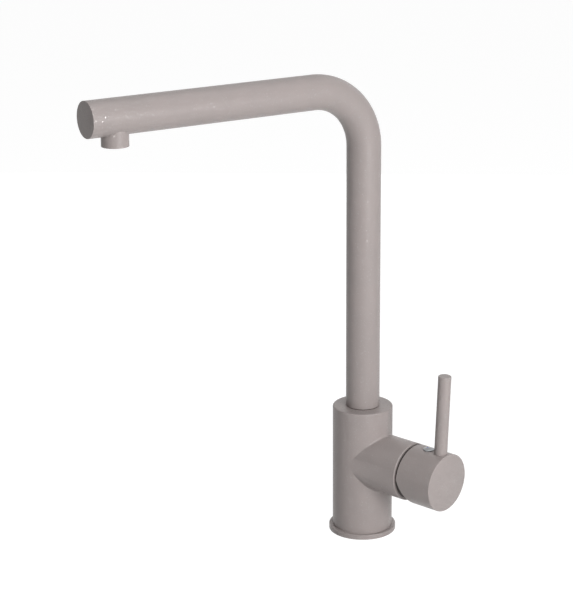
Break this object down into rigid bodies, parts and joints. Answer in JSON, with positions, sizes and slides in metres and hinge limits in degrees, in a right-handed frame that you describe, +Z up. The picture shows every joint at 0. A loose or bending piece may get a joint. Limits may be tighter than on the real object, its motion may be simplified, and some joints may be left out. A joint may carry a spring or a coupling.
{
  "type": "kitchen mixer tap",
  "caption": "Single-lever kitchen mixer tap with a round upright body, a side branch with lever handle, a tall swivelling spout with a level arm, and tapped hose inlets.",
  "frame": {"origin": "centre of the base ring's underside, on the deck that the tap stands on", "axes": "+Z up along the body, +X along the side branch towards the lever handle; the spout's arm points about 15 degrees from -Y at rest"},
  "size_m": [0.1682, 0.2682, 0.3925],
  "materials": {
    "paint": "satin taupe-grey powder coat with fine sparkle",
    "brass": "turned",
    "steel": "plain",
    "chrome": "bright",
    "dark_plastic": "moulded",
    "pale_plastic": "moulded",
    "rubber": "matt",
    "ceramic": "lapped",
    "blue_enamel": "glossy"
  },
  "bodies": {
    "root": {"body": "paint", "base_ring": "paint", "deck_seal": "rubber", "upper_swivel_bush": "dark_plastic", "lower_swivel_bush": "dark_plastic", "cartridge_base": "dark_plastic", "port_seals": "rubber", "disc_seals": "rubber", "fixed_disc": "ceramic", "cartridge_housing": "dark_plastic", "cartridge_nut": "brass", "dome_ring": "dark_plastic"},
    "spout": {"spout_tube": "paint", "spout_end_disc": "paint", "spout_nipple": "brass", "spout_o_rings": "rubber", "spout_snap_ring": "steel", "outlet_collar": "paint", "aerator_housing": "pale_plastic", "aerator_core": "pale_plastic", "aerator_seal": "rubber"},
    "mixing_turret": {"turret": "pale_plastic", "stem_pin": "steel"},
    "handle_group": {"stem": "steel", "handle": "paint", "lever": "paint", "handle_grub_screw": "steel", "indicator_plug": "chrome", "indicator_dot": "blue_enamel"},
    "disc_group": {"disc_carrier": "pale_plastic", "moving_disc": "ceramic"}
  },
  "joints": [
    {"name": "spout_swivel", "type": "hinge", "parent": "root", "child": "spout", "pos_m": [0, 0, 0.1], "axis": [0, 0, 1], "continuous": true},
    {"name": "mix_turn", "type": "hinge", "parent": "root", "child": "mixing_turret", "pos_m": [0.0388, 0, 0.0642], "axis": [1, 0, 0], "range_deg": [-45, 45]},
    {"name": "flow_tilt", "type": "hinge", "parent": "mixing_turret", "child": "handle_group", "pos_m": [0.0388, 0, 0.0642], "axis": [0, 1, 0], "range_deg": [0, 20]},
    {"name": "disc_slide", "type": "slide", "parent": "mixing_turret", "child": "disc_group", "axis": [0, 0, 1], "range_m": [0, 0.00275]}
  ],
  "couplings": [
    {"joint": "disc_slide", "follows": "flow_tilt", "m_per_rad": 0.007838}
  ]
}
